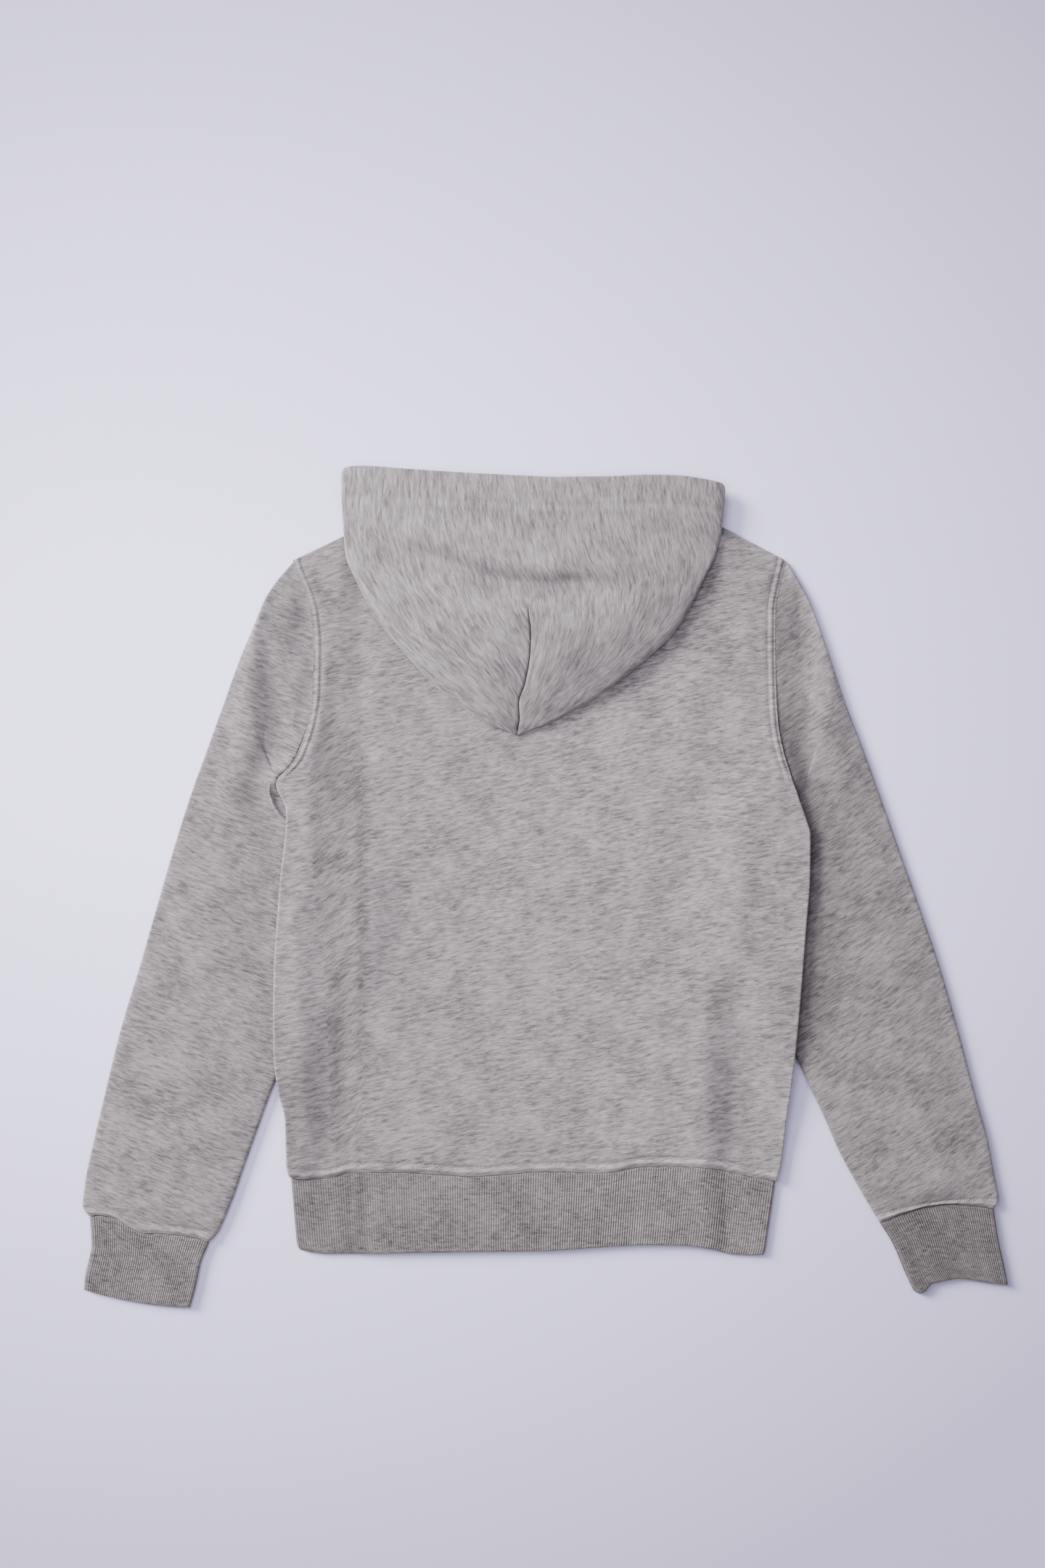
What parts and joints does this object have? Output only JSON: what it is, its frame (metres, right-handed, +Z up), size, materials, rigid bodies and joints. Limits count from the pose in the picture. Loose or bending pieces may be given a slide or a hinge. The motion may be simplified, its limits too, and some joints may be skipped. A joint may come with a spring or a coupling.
{
  "type": "zip-up hoodie",
  "caption": "Heather-grey fleece zip-up hoodie laid face down, hood spread over the back, long sleeves, ribbed hem and cuffs.",
  "frame": {"origin": "on the surface it lies on, under the middle of the garment's box", "axes": "+Z up from the surface, towards the viewer; +Y from the hem towards the hood's rim; +X towards the wearer's right sleeve, because the garment lies face down"},
  "size_m": [0.7933, 0.7189, 0.0232],
  "materials": {
    "fleece": "matt heather-grey fleece with soft darker streaks",
    "rib": "matt vertical rib knit, heather grey",
    "tape": "matt woven zip tape with moulded teeth",
    "metal": "satin metal"
  },
  "bodies": {
    "root": {"back_panel": "fleece", "front_left": "fleece", "front_right": "fleece", "sleeve_left": "fleece", "sleeve_right": "fleece", "cuff_left": "rib", "cuff_right": "rib", "hem_rib": "rib", "hood": "fleece", "zip_tape_left": "tape", "zip_tape_right": "tape", "zip_slider": "metal"},
    "pull_tab": {"zip_pull": "metal"}
  },
  "joints": [
    {"name": "pull_tab_swing", "type": "hinge", "parent": "root", "child": "pull_tab", "pos_m": [0, 0.2495, 0.0013], "axis": [1, 0, 0], "range_deg": [0, 150]}
  ]
}
